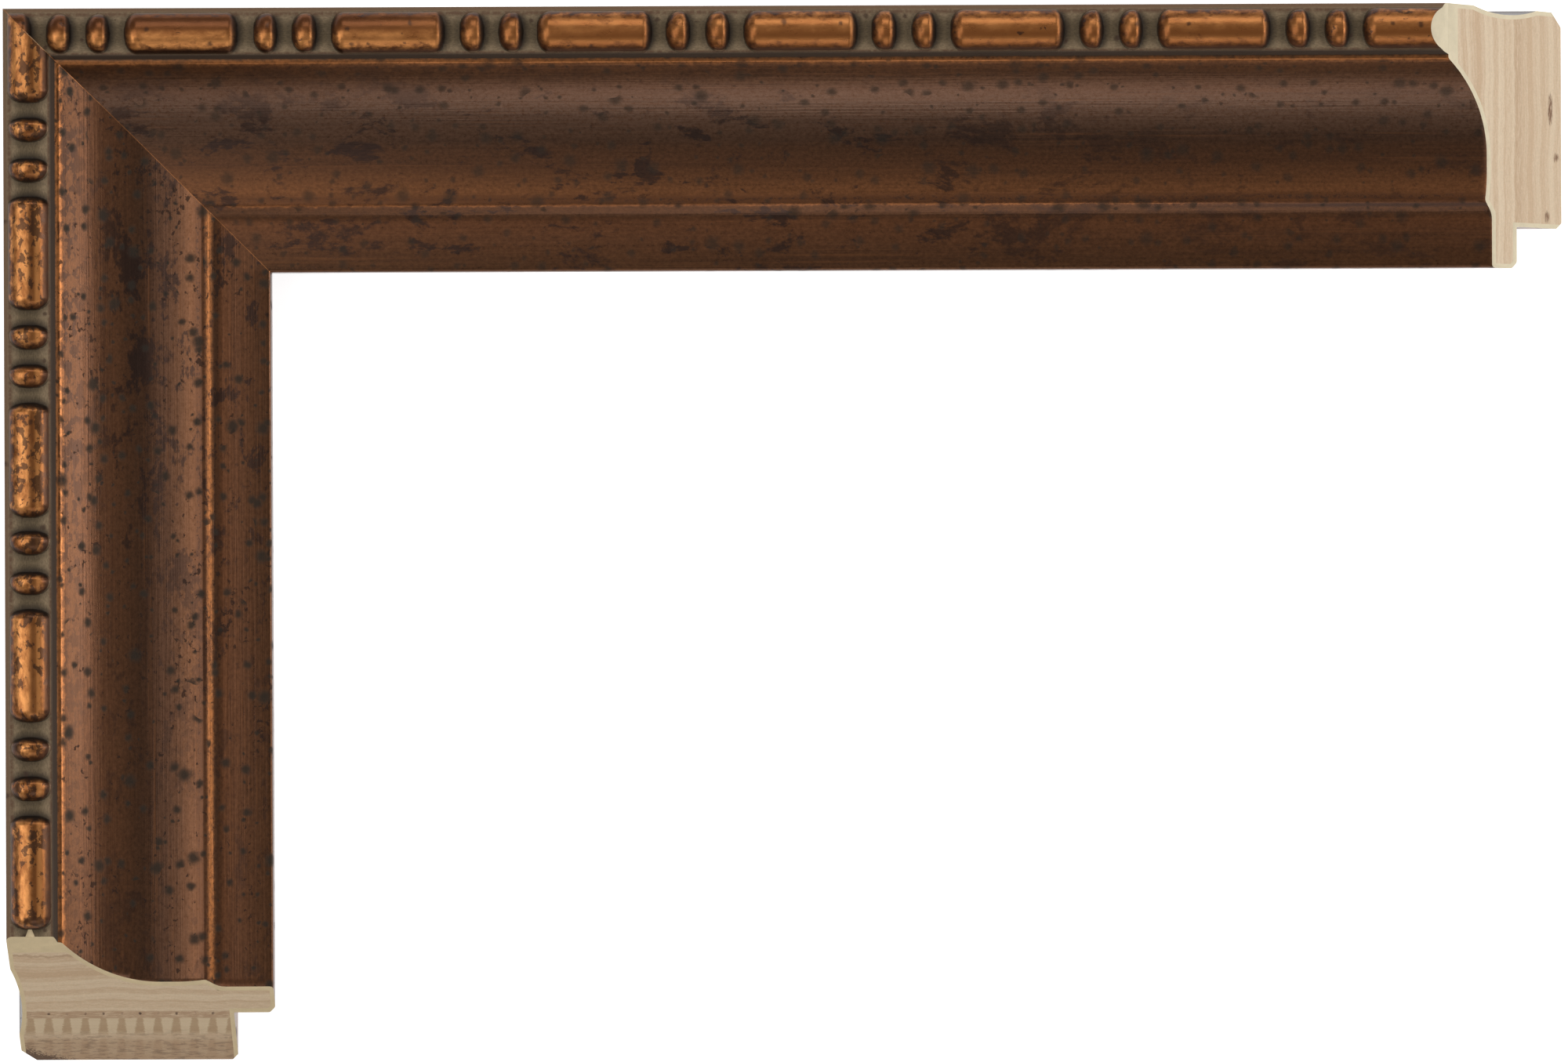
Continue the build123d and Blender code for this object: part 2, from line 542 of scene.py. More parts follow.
# Place on the leg in millimetres; Sheet is the surface rolled out flat over its long edges
def makeLegPlace():
    outputs = ("Along", "Across", "Up"), ("Spot", "Sheet")
    given, out = startGroup("legPlace", {"Place": None}, *outputs)
    tree = groups["legPlace"]
    enlarged = addNode(tree, "ShaderNodeVectorMath", operation="SCALE")
    feed(enlarged.inputs[0], given["Place"])
    feed(enlarged.inputs["Scale"], 1 / mm)
    parts = addNode(tree, "ShaderNodeSeparateXYZ")
    feed(parts.inputs[0], enlarged.outputs[0])
    across = sums("ABSOLUTE", parts.outputs["Y"])
    sheet = addNode(tree, "ShaderNodeCombineXYZ")
    down = minus(across, times(parts.outputs["Z"], 0.5))
    fill(sheet, {"X": parts.outputs["X"], "Y": down})
    feed(out["Along"], parts.outputs["X"])
    feed(out["Across"], across)
    feed(out["Up"], parts.outputs["Z"])
    feed(out["Spot"], enlarged.outputs[0])
    feed(out["Sheet"], sheet.outputs[0])


# Scattered fly specks: soft dark spots of uneven size, spacing and radius in millimetres
def makeFlySpecks():
    inputs = {"Sheet": None, "Spacing": 5.0, "Radius": 0.8, "Cover": 0.6, "Seed": 0.0}
    given, out = startGroup("flySpecks", inputs)
    tree = groups["flySpecks"]
    place = stretched(given["Sheet"], (1, 1, 1), given["Seed"])
    wobble = addNode(tree, "ShaderNodeTexNoise")
    fill(wobble, {"Vector": place, "Scale": 1.0, "Detail": 4.0})
    pushed = addNode(tree, "ShaderNodeVectorMath", operation="MULTIPLY_ADD")
    for socket, value in zip(pushed.inputs, (wobble.outputs["Color"], (0.9, 0.9, 0.0), place)):
        feed(socket, value)
    cells = addNode(tree, "ShaderNodeTexVoronoi", voronoi_dimensions="2D")
    fill(cells, {"Vector": pushed.outputs[0], "Scale": sums("DIVIDE", 1.0, given["Spacing"])})
    chance = addNode(tree, "ShaderNodeSeparateColor")
    feed(chance.inputs[0], cells.outputs["Color"])
    size = times(given["Radius"], rampUp(chance.outputs[0], -0.6, 1.0))
    away = times(cells.outputs["Distance"], given["Spacing"])
    spot = minus(1.0, rampUp(away, times(size, 0.2), size))
    crowd = noiseAt(place, scale=0.07, detail=2.0)
    gathered = times(crowd, times(given["Cover"], 2.0))
    there = sums("LESS_THAN", chance.outputs[1], gathered)
    feed(out["Mask"], times(spot, there))


# Fine dark flecks that gather in clusters
def makeFlecks():
    given, out = startGroup("flecks", {"Spot": None, "Scale": 0.9, "Level": 0.62, "Seed": 0.0})
    finePlace = stretched(given["Spot"], (0.8, 1, 1), given["Seed"])
    fine = noiseAt(finePlace, given["Scale"], detail=4.0, roughness=0.6, distortion=0.3)
    broadPlace = stretched(given["Spot"], (0.7, 1, 1), given["Seed"])
    cluster = noiseAt(broadPlace, scale=0.11, detail=3.0, roughness=0.6)
    level = swayed(given["Level"], cluster, -0.45)
    feed(out["Mask"], rampUp(fine, level, plus(level, 0.05)))


# Streaks left by the brush, drawn out along the leg
def makeLengthStreaks():
    given, out = startGroup("lengthStreaks", {"Spot": None, "Seed": 0.0}, ("Fine", "Broad"))
    finePlace = stretched(given["Spot"], (0.03, 2.2, 2.2), given["Seed"])
    broadPlace = stretched(given["Spot"], (0.012, 0.4, 0.4), given["Seed"])
    feed(out["Fine"], noiseAt(finePlace, scale=1.0, detail=4.0, roughness=0.6))
    feed(out["Broad"], noiseAt(broadPlace, scale=1.0, detail=3.0, roughness=0.5))


# Ragged patches of dark patina
def makePatinaPatches():
    inputs = {"Spot": None, "Scale": 0.1, "Level": 0.6, "Edge": 0.06, "Tatter": 0.2, "Seed": 0.0}
    given, out = startGroup("patinaPatches", inputs)
    place = stretched(given["Spot"], (0.6, 1, 1), given["Seed"])
    cloud = noiseAt(place, given["Scale"], detail=7.0, roughness=0.66, distortion=0.4)
    tatter = noiseAt(place, scale=0.9, detail=5.0, roughness=0.68)
    cloud = swayed(cloud, tatter, given["Tatter"])
    feed(out["Mask"], rampUp(cloud, given["Level"], plus(given["Level"], given["Edge"])))


# A band along the leg, broken up by a noise: where an edge is rubbed through, and also bands of painted
# highlight, sheen and shade
def makeRubbedAndLitBand():
    inputs = {"Across": 0.0, "Centre": 0.0, "Half": 1.0, "Broken": 0.5}
    given, out = startGroup("rubbedAndLitBand", inputs)
    away = apart(given["Across"], given["Centre"])
    band = minus(1.0, rampUp(away, 0.0, given["Half"]))
    feed(out["Mask"], times(band, rampUp(given["Broken"], 0.25, 0.6)))


# The thin line of bright bronze where the two legs meet
def makeMitreLine():
    given, out = startGroup("mitreLine", {"Along": 0.0, "Across": 0.0, "Half": 0.2})
    away = minus(given["Along"], given["Across"])
    feed(out["Mask"], rampUp(away, given["Half"], times(given["Half"], 0.4)))


makeLegPlace()
makeFlySpecks()
makeFlecks()
makeLengthStreaks()
makePatinaPatches()
makeRubbedAndLitBand()
makeMitreLine()
unbroken = 0.6  # a Broken value that leaves the whole band


def startMaterial(name):
    material = bpy.data.materials.new(name)
    material.use_nodes = True
    tree = material.node_tree
    return material, tree, tree.nodes["Principled BSDF"]


def legPlace(tree):
    return placeGroup("legPlace", Place=addNode(tree, "ShaderNodeTexCoord").outputs["Object"])


def bandMask(across, centre, half, broken):
    return placeGroup("rubbedAndLitBand", Across=across, Centre=centre, Half=half, Broken=broken)["Mask"]


def fleckMask(spot, scale, level, seed):
    return placeGroup("flecks", Spot=spot, Scale=scale, Level=level, Seed=seed)["Mask"]


def speckMask(sheet, spacing, radius, cover, seed):
    values = {"Sheet": sheet, "Spacing": spacing, "Radius": radius, "Cover": cover, "Seed": seed}
    return placeGroup("flySpecks", **values)["Mask"]


def mitreMask(place, half):
    return placeGroup("mitreLine", Along=place["Along"], Across=place["Across"], Half=half)["Mask"]


def addBump(shader, height, depth):
    bump = addNode(shader.id_data, "ShaderNodeBump")
    fill(bump, {"Strength": 1.0, "Distance": depth * mm, "Height": height})
    feed(shader.inputs["Normal"], bump.outputs[0])


# Bronze of the scooped face: tones from the outer edge inwards, lengths in millimetres
faceBronze = {
    "tones": [
        (0.0, 58, 47, 40),
        (10.4, 76, 58, 44),
        (10.9, 138, 88, 50),
        (11.5, 132, 82, 45),
        (12.2, 92, 56, 30),
        (14.0, 88, 54, 29),
        (17.0, 100, 63, 39),
        (22.0, 106, 69, 45),
        (27.0, 82, 54, 36),
        (32.0, 94, 60, 38),
        (37.5, 126, 80, 48),
        (40.3, 112, 70, 43),
        (41.0, 90, 57, 35),
        (42.6, 92, 59, 37),
        (43.8, 112, 70, 43),
        (46.5, 106, 67, 42),
        (53.0, 92, 59, 36),
    ],
    "patch": tone(58, 45, 41),
    "fleck": tone(50, 38, 33),
    "speck": tone(54, 48, 41),
    # grey of the bloom, which also paints the sheen greyer
    "bloomAndSheen": tone(110, 98, 89),
    "copper": tone(190, 118, 62),
    "line": tone(168, 108, 62),
    "waver": 1.2,  # how far the tones wander across
    "agedLeast": 0.45,  # patina left where it has thinned out
    "mottleLift": (1.6, 0.08),
    "streakLift": 0.3,
    "rubCover": 0.25,
    "ridge": 11.3,
    "ridgeZone": ((10.6, 11.3), (19.0, 13.0)),  # the bitten zone begins and ends
    "arrisShade": (40.9, 0.8),  # centre and half width of the line of painted shade
    "aboveArris": (39.2, 1.3),
    "darkStreaks": 0.3,
    "patchZone": (9.0, 26.0),  # patches come in between these
    "patchEdge": 0.07,
    "patchStep": 0.015,  # the finer patches are rarer by this
    "patchCover": 0.76,
    "fleckScale": 0.8,
    "biteScale": 0.5,
    "biteLevel": 0.5,
    "speckSizes": ((9.0, 2.2, 0.65), (5.0, 1.5, 0.62), (2.8, 0.7, 0.12)),  # spacing, radius, cover
    "mitreHalf": 0.16,
    "mitreCover": 0.8,
    "metallic": 0.66,
    "metalUnder": (0.4, 0.45, 0.8),  # patches, specks and bites are this much nearer to full metal
    "gloss": 0.4,
    "roughness": 0.19,
    "roughStreaks": 0.12,
    "roughMottle": 0.1,
    "grooves": 0.04,
}


def makeFaceBronze(leg):
    f, seed = faceBronze, leg["seed"]
    material, tree, shader = startMaterial("faceBronze")
    place = legPlace(tree)
    spot, across, along = place["Spot"], place["Across"], place["Along"]
    streaks = placeGroup("lengthStreaks", Spot=spot, Seed=seed)
    fine, broad = streaks["Fine"], streaks["Broad"]
    mottlePlace = stretched(spot, (0.8, 1, 1), seed)
    mottle = noiseAt(mottlePlace, scale=1.5, detail=6.0, roughness=0.72)
    sway = noiseAt(spot, scale=0.8, detail=4.0, roughness=0.6)
    waver = swayed(across, sway, f["waver"])
    fadeStart, fadeEnd = leg["patchFade"]
    aged = scaled(rampUp(along, fadeEnd, fadeStart), 1.0 - f["agedLeast"], f["agedLeast"])
    # Where the arris leaves the light: its bright line fades and a line of painted shade comes in
    arrisUnlit = rampUp(along, *leg["arrisOutOfLight"])

    # Ground tone, streaks, grey bloom that is partly painted sheen, and worn edges; the arris line is partly
    # a painted highlight
    stops = [(w / moulding["width"], tone(*shade)) for w, *shade in f["tones"]]
    colour = toneRamp(sums("DIVIDE", waver, moulding["width"]), stops)
    lift = plus(times(fine, f["streakLift"]), scaled(mottle, *f["mottleLift"]))
    colour = mixTone(1.0, colour, lift, "MULTIPLY")
    rub = times(rampUp(broad, 0.5, 0.75), rampUp(fine, 0.45, 0.7))
    colour = laid(colour, f["copper"], rub, f["rubCover"])
    centre, half, amount = leg["hazeAndSheen"]
    colour = laid(colour, f["bloomAndSheen"], bandMask(waver, centre, half, mottle), amount)
    half, amount = leg["ridgeRub"]
    colour = laid(colour, f["copper"], bandMask(waver, f["ridge"], half, mottle), amount)
    centre, half, amount = leg["arrisRubAndHighlight"]
    arrisWearAndHighlight = times(bandMask(waver, centre, half, mottle), minus(1.0, arrisUnlit))
    colour = laid(colour, f["copper"], arrisWearAndHighlight, amount)

    # Dark patina, and a line of painted shade on the arris where it leaves the light
    dark = times(rampUp(broad, 0.4, 0.8), f["darkStreaks"])
    dark = most(dark, times(bandMask(across, *f["arrisShade"], unbroken), arrisUnlit))
    inner = times(rampUp(across, *f["patchZone"]), aged)
    for i, scale in enumerate(leg["patchScales"]):
        values = {"Spot": spot, "Scale": scale, "Level": leg["patchLevel"] + f["patchStep"] * i}
        values |= {"Edge": f["patchEdge"], "Tatter": leg["tatter"], "Seed": seed + 7.0 * i}
        patches = placeGroup("patinaPatches", **values)["Mask"]
        dark = most(dark, times(patches, inner))
    above = bandMask(waver, *f["aboveArris"], broad)
    dark = most(dark, times(above, rampUp(mottle, 0.45, 0.6)))
    colour = laid(colour, f["patch"], dark, f["patchCover"])

    # Flecks, bites out of the ridge, fly specks and the mitre
    flecks = fleckMask(spot, f["fleckScale"], leg["fleckLevel"], seed + 1.0)
    bites = fleckMask(spot, f["biteScale"], f["biteLevel"], seed + 2.0)
    begins, ends = f["ridgeZone"]
    ridge = times(rampUp(across, *begins), rampUp(across, *ends))
    ridge = times(times(ridge, aged), leg["ridgeFlecks"])
    spotted = times(flecks, leg["fleckCover"])
    bitten = most(spotted, times(bites, ridge))
    colour = mixTone(bitten, colour, f["fleck"])
    specks = 0.0
    for i, sizes in enumerate(f["speckSizes"]):
        specks = most(specks, speckMask(place["Sheet"], *sizes, seed + i))
    colour = laid(colour, f["speck"], specks, leg["speckCover"])
    line = times(mitreMask(place, f["mitreHalf"]), rampUp(mottle, 0.2, 0.6))
    colour = laid(colour, f["line"], line, f["mitreCover"])

    covered = 0.0
    for mask, share in zip((dark, specks, bitten), f["metalUnder"]):
        covered = most(covered, times(mask, share))
    metal = scaled(covered, 1.0 - f["metallic"], f["metallic"])
    rough = plus(times(fine, f["roughStreaks"]), times(mottle, f["roughMottle"]))
    rough = plus(rough, times(most(specks, spotted), leg["speckMatt"]))
    rough = plus(rough, f["roughness"])
    fill(shader, {"Base Color": colour, "Metallic": metal, "Roughness": rough})
    shader.inputs["Specular IOR Level"].default_value = f["gloss"]
    addBump(shader, fine, f["grooves"])
    return material


# Bronze of the ornament string; lengths in millimetres, rise is the height over the strip
stringBronze = {
    "copper": tone(148, 90, 46),
    # bright gilt, also the painted highlight on the bars
    "bright": tone(222, 150, 86),
    # brown of the bars, also their painted shade on the flanks and along them
    "brown": tone(98, 58, 33),
    "edge": tone(98, 70, 52),
    "inner": tone(62, 41, 29),
    "maroon": tone(74, 52, 43),
    # dark wash, also the painted shade in the creases and beside each piece
    "washShade": tone(38, 30, 24),
    "olive": tone(104, 88, 65),
    "paleOlive": tone(130, 111, 86),
    "rim": tone(118, 92, 69),
    "quirk": tone(66, 52, 41),
    "fleck": tone(66, 46, 35),
    "line": tone(168, 108, 62),
    "raggedAcross": 2.5,
    "raggedRise": 5.0,
    "turnedHighlight": 0.45,  # painted highlight on the outer side where it has moved over
    "inside": (7.2, 0.9),  # centre and half width of the painted highlight line on the inner side
    # strength of the painted highlight line on the inner side, less where the highlight has moved over
    "insideHighlight": (-0.55, 0.75),
    # the bars and beads are painted brown, as shade, on their flanks below these rises
    "flankShadeRise": (0.7, 2.2),
    "footRise": (0.9, 0.5),
    "outward": (2.0, -1.0),
    "bareCover": 0.9,
    "fleckScale": 0.55,
    "fleckCover": 0.8,
    "dish": (1.2, 3.4),  # the recesses pale from here to here, from their middle outwards
    "grain": (1.7, 0.2),
    "bodyRise": (0.15, 0.6),
    "creaseShade": ((0.03, 0.12), (0.5, 0.12)),  # the dark wash and painted shade in the crease at the foot begin and end
    "creaseShadeCover": 0.6,
    "leeShadeCover": 0.95,
    "edges": ((1.35, 0.8), (9.45, 0.5)),  # centre and half width of the strip's worn edges
    "edgeRise": (0.5, 0.1),
    "edgeCover": 0.85,
    "quirkEdge": (-0.6, 0.1),
    "rimEdge": (0.25, -0.25),
    "specks": (4.2, 0.95, 0.32),  # spacing, radius, cover
    "speckCover": 0.75,
    "mitreHalf": 0.16,
    "mitreCover": 0.6,
    "giltRise": (0.02, 0.25),
    "metallic": 0.62,
    "bareMetallic": 0.9,
    "gloss": 0.22,
    "roughness": (0.2, 0.2),
    "mattRoughness": 0.35,
    "dents": 0.08,
}


def makeStringBronze(leg):
    b, s, seed = stringBronze, string, leg["seed"]
    material, tree, shader = startMaterial("stringBronze")
    place = legPlace(tree)
    spot, across = place["Spot"], place["Across"]
    rise = addNode(tree, "ShaderNodeAttribute", attribute_name="rise").outputs["Fac"]
    # Dark wash and painted shadow beside each piece, worked out when the mesh is built
    leeShade = addNode(tree, "ShaderNodeAttribute", attribute_name="leeShade").outputs["Fac"]
    worn = noiseAt(stretched(spot, (0.5, 1, 1), seed), scale=0.5, detail=5.0, roughness=0.62)
    mottle = noiseAt(stretched(spot, (1, 0.5, 1), seed), scale=1.2, detail=4.0, roughness=0.6)
    tatterPlace = stretched(spot, (0.7, 1, 1), seed + 6.0)
    tatter = noiseAt(tatterPlace, scale=0.6, detail=5.0, roughness=0.66)

    # Gilt of the bars and beads, partly a painted highlight: bright on one side of each, a painted highlight
    # line on the inner side and a band of painted shade along them; along the long leg the highlight moves
    # over to the outer side
    dull, gilt, least = leg["barGiltAndHighlight"]
    shifted = swayed(across, tatter, b["raggedAcross"])
    rubbedAndLit = scaled(rampUp(shifted, dull, gilt), 1.0 - least, least)
    turned = rampUp(place["Along"], *leg["barHighlightTurn"])
    swing = minus(b["turnedHighlight"], times(rubbedAndLit, 1.0 + b["turnedHighlight"]))
    rubbedAndLit = plus(rubbedAndLit, times(turned, swing))
    giltAndHighlight = times(rampUp(worn, *leg["barWear"]), rubbedAndLit)
    inside = bandMask(across, *b["inside"], unbroken)
    giltAndHighlight = most(giltAndHighlight, times(inside, scaled(turned, *b["insideHighlight"])))
    copper = mixTone(giltAndHighlight, b["copper"], b["bright"])
    centre, half, amount = leg["barShadeBand"]
    shadeBand = times(bandMask(across, centre, half, unbroken), minus(1.0, turned))
    copper = laid(copper, b["brown"], shadeBand, amount)

    # Painted shade on the low flanks, the darker inner flank, maroon feet and flecks of the bars and beads
    ragged = swayed(rise, tatter, b["raggedRise"])
    body = mixTone(rampUp(ragged, *b["flankShadeRise"]), b["brown"], copper)
    inward = times(rampUp(across, *leg["bareFlank"]), b["bareCover"])
    body = mixTone(inward, body, b["inner"])
    outward = rampUp(minus(across, s["centre"]), *b["outward"])
    body = laid(body, b["maroon"], rampUp(ragged, *b["footRise"]), outward)
    flecks = fleckMask(spot, b["fleckScale"], leg["barFlecks"], seed + 4.0)
    body = laid(body, b["fleck"], flecks, b["fleckCover"])

    # Olive recesses between them, with dark wash and painted shade in the creases and beside each piece,
    # worn along the edges of the strip
    away = apart(across, s["centre"])
    pale = swayed(rampUp(away, *b["dish"]), mottle, 1.0)
    olive = mixTone(pale, b["olive"], b["paleOlive"])
    grain = noiseAt(stretched(spot, (0.9, 2.0, 1), seed), scale=1.6, detail=5.0, roughness=0.7)
    olive = mixTone(1.0, olive, scaled(grain, *b["grain"]), "MULTIPLY")
    colour = mixTone(rampUp(rise, *b["bodyRise"]), olive, body)
    begins, ends = b["creaseShade"]
    creaseShade = times(rampUp(rise, *begins), rampUp(rise, *ends))
    colour = laid(colour, b["washShade"], creaseShade, b["creaseShadeCover"])
    colour = laid(colour, b["washShade"], leeShade, b["leeShadeCover"])
    for centre, half in b["edges"]:
        flat = times(bandMask(across, centre, half, mottle), rampUp(rise, *b["edgeRise"]))
        colour = laid(colour, b["edge"], flat, b["edgeCover"])
    pastInner = minus(across, s["inner"])
    colour = mixTone(rampUp(pastInner, *b["quirkEdge"]), colour, b["quirk"])
    pastRim = minus(across, s["rim"])
    colour = mixTone(rampUp(pastRim, *b["rimEdge"]), colour, b["rim"])
    specks = speckMask(place["Sheet"], *b["specks"], seed)
    colour = laid(colour, b["fleck"], specks, b["speckCover"])
    colour = laid(colour, b["line"], mitreMask(place, b["mitreHalf"]), b["mitreCover"])

    gilt = rampUp(rise, *b["giltRise"])
    bare = scaled(inward, b["bareMetallic"] - b["metallic"], b["metallic"])
    metal = times(gilt, bare)
    matt = most(minus(1.0, gilt), leeShade)
    rough = plus(scaled(worn, *b["roughness"]), times(matt, b["mattRoughness"]))
    fill(shader, {"Base Color": colour, "Metallic": metal, "Roughness": rough})
    shader.inputs["Specular IOR Level"].default_value = b["gloss"]
    addBump(shader, worn, b["dents"])
    return material


# Chalky composition, bare where the ends are sawn
composition = {"shade": (0.28, 0.86), "roughness": 0.85, "pits": 0.04}


def makeComposition(leg):
    material, tree, shader = startMaterial("composition")
    spot = legPlace(tree)["Spot"]
    cloud = noiseAt(spot, scale=0.5, detail=5.0, roughness=0.6)
    shade = scaled(cloud, *composition["shade"])
    colour = mixTone(1.0, leg["cream"], shade, "MULTIPLY")
    fill(shader, {"Base Color": colour, "Roughness": composition["roughness"]})
    addBump(shader, noiseAt(spot, scale=3.0, detail=4.0, roughness=0.7), composition["pits"])
    return material


# Bare sawn softwood in two glued layers; heights in millimetres over the back
sawnWood = {
    "pale": tone(224, 202, 176),
    "late": tone(205, 176, 147),
    "lower": tone(200, 174, 144),
    "glue": tone(172, 138, 106),
    "finger": tone(172, 142, 106),
    "tooth": tone(214, 192, 158),
    "stain": tone(84, 60, 44),
    "knot": tone(112, 74, 48),
    "ringDrift": 3.0,
    "ringShare": 0.8,
    "ringEdge": (0.42, 0.58),
    "lowerCover": 0.2,
    "poreShade": (0.3, 0.85),
    "glueHeight": 10.2,
    "glueHalf": 1.15,
    "glueBroken": (0.25, 0.6),
    "footDull": (7.0, 3.0),  # the short leg's foot is dull below these
    "footCover": 0.75,
    "bedLine": 24.4,
    "bedWave": 2.2,
    "bedEdge": (0.35, 0.1),
    "bedCover": 0.6,
    "coarseEdge": (0.48, 0.62),
    "coarseBelow": (8.0, 4.0),
    "coarseCover": 0.4,
    "heelSlope": (0.16, 0.6),  # across and up
    "heelFray": 3.2,
    "heelEdge": (3.5, 2.9),
    "heelCover": 0.85,
    "knots": ((20.5, 2.6, 5.6, 1.0), (30.5, 1.2, 1.8, 1.1), (43.0, 3.4, 2.2, 1.1)),  # across, up, half sizes
    "knotFray": 1.6,
    "knotEdge": (1.25, 0.7),
    "knotCover": 0.95,
    "fingerPitch": 3.8,
    "fingerStart": 2.9,
    "fingerLean": 0.12,
    "fingerRows": ((9.6, 5.8, 0.7), (5.2, 0.6, 0.14)),  # top, foot, strength
    "fingerNarrow": 0.15,
    "fingerWide": 0.29,
    "fingerEdge": 0.06,
    "fingerFray": 0.2,
    "rowTop": (0.0, 0.08),
    "rowFoot": (1.15, 0.75),
    "dotRise": 0.3,
    "dotFray": 0.3,
    "dotEdge": (0.3, 0.16),
    "roughness": 0.8,
    "fibres": 0.1,
}


def squares(first, second):
    return plus(times(first, first), times(second, second))


# The brown fingers of the joint, wide at the foot, the pale teeth between them and specks of glue
def fingerMasks(across, up, drift):
    w = sawnWood
    lean = times(minus(w["glueHeight"], up), w["fingerLean"])
    placed = plus(minus(across, w["fingerStart"]), lean)
    turns = sums("DIVIDE", placed, w["fingerPitch"])
    away = apart(sums("FRACT", plus(turns, 0.5)), 0.5)
    ragged = swayed(away, drift, w["fingerFray"])
    fingers, teeth = 0.0, 0.0
    for top, foot, strength in w["fingerRows"]:
        down = sums("DIVIDE", minus(top, up), top - foot)
        half = scaled(down, w["fingerWide"] - w["fingerNarrow"], w["fingerNarrow"])
        gap = rampUp(minus(ragged, half), -w["fingerEdge"], w["fingerEdge"])
        inRow = times(rampUp(down, *w["rowTop"]), rampUp(down, *w["rowFoot"]))
        inRow = times(inRow, strength)
        tooth = times(gap, inRow)
        teeth = most(teeth, tooth)
        fingers = most(fingers, minus(inRow, tooth))
    wide = times(away, w["fingerPitch"])
    tall = minus(up, w["glueHeight"] + w["dotRise"])
    far = plus(squares(wide, tall), times(drift, w["dotFray"]))
    return fingers, teeth, rampUp(far, *w["dotEdge"])


# Dark knots on the long leg's cut, drawn out along the grain
def knotMask(across, up, drift):
    whole = 0.0
    for acrossAt, upAt, acrossHalf, upHalf in sawnWood["knots"]:
        first = sums("DIVIDE", minus(across, acrossAt), acrossHalf)
        second = sums("DIVIDE", minus(up, upAt), upHalf)
        far = plus(squares(first, second), times(drift, sawnWood["knotFray"]))
        whole = most(whole, rampUp(far, *sawnWood["knotEdge"]))
    return whole


def makeSawnWood(leg, name):
    w, seed = sawnWood, leg["seed"]
    material, tree, shader = startMaterial(name)
    turned = addNode(tree, "ShaderNodeMapping", vector_type="TEXTURE")  # from the part's frame to the leg's
    turned.inputs["Location"].default_value = corner
    turned.inputs["Rotation"].default_value = (0, 0, leg["turn"])
    feed(turned.inputs["Vector"], addNode(tree, "ShaderNodeTexCoord").outputs["Object"])
    place = placeGroup("legPlace", Place=turned.outputs[0])
    spot, across, up = place["Spot"], place["Across"], place["Up"]

    # Growth rings, fibres and pores
    drift = noiseAt(stretched(spot, (0.02, 0.05, 0.02), seed), scale=1.0, detail=2.0)
    rings = addNode(tree, "ShaderNodeCombineXYZ")
    feed(rings.inputs["Z"], plus(up, times(drift, w["ringDrift"])))
    band = noiseAt(rings.outputs[0], scale=0.4, detail=3.0, roughness=0.6)
    fibre = noiseAt(stretched(spot, (0.5, 0.5, 4.0), seed), scale=1.0, detail=5.0, roughness=0.65)
    pore = noiseAt(stretched(spot, (1.0, 1.0, 1.6), seed), scale=2.2, detail=3.0, roughness=0.6)
    late = plus(times(band, w["ringShare"]), times(fibre, 1.0 - w["ringShare"]))
    colour = mixTone(rampUp(late, *w["ringEdge"]), w["pale"], w["late"])
    colour = mixTone(1.0, colour, leg["woodTint"], "MULTIPLY")
    below = rampUp(up, w["glueHeight"], w["glueHeight"] - 0.3)
    colour = laid(colour, w["lower"], below, w["lowerCover"])
    colour = mixTone(1.0, colour, scaled(pore, *w["poreShade"]), "MULTIPLY")
    away = apart(up, w["glueHeight"])
    glue = minus(1.0, rampUp(away, w["glueHalf"] * 0.5, w["glueHalf"]))
    glue = times(glue, rampUp(fibre, *w["glueBroken"]))
    colour = laid(colour, w["glue"], glue, leg["glueCover"])

    # Finger joint, bed line and stained heel of the short leg, knots of the long one
    if leg["fingers"]:
        colour = laid(colour, w["glue"], rampUp(up, *w["footDull"]), w["footCover"])
        fingers, teeth, dots = fingerMasks(across, up, pore)
        colour = mixTone(teeth, colour, w["tooth"])
        colour = mixTone(fingers, colour, w["finger"])
        scatter = rampUp(noiseAt(stretched(spot, (0.2, 0.3, 0), seed), 1.0), 0.4, 0.6)
        colour = laid(colour, w["stain"], dots, scatter)
        wave = plus(up, times(noiseAt(spot, scale=0.35, detail=3.0), w["bedWave"]))
        bed = rampUp(apart(wave, w["bedLine"]), *w["bedEdge"])
        colour = laid(colour, w["glue"], bed, w["bedCover"])
        coarsePlace = stretched(spot, (0.3, 0.5, 3.0), seed)
        coarse = noiseAt(coarsePlace, scale=0.8, detail=5.0, roughness=0.7)
        coarse = times(rampUp(coarse, *w["coarseEdge"]), rampUp(up, *w["coarseBelow"]))
        colour = laid(colour, w["stain"], coarse, w["coarseCover"])
        acrossShare, upShare = w["heelSlope"]
        heel = plus(times(across, acrossShare), times(up, upShare))
        heel = plus(heel, times(pore, w["heelFray"]))
        colour = laid(colour, w["stain"], rampUp(heel, *w["heelEdge"]), w["heelCover"])
    else:
        colour = laid(colour, w["knot"], knotMask(across, up, fibre), w["knotCover"])
    fill(shader, {"Base Color": colour, "Roughness": w["roughness"]})
    addBump(shader, fibre, w["fibres"])
    return material


print("materials ready")


# The coat of one leg: the swept outline, cut at both ends
def buildCoat(name, leg, materials):
    outline, step = coatOutline(), moulding["step"]
    ring = np.vstack([easedOutline(outline), bedOutline(outline)[::-1]])
    stations = np.arange(-step, leg["length"] + 2 * step, step)
    rings = np.repeat(ring[None], len(stations), axis=0)
    work = sweepRings(rings, stations, leg["hand"])
    sawEnds(work, leg)
    return makePiece(name, work, leg, materials, moulding["sharp"])


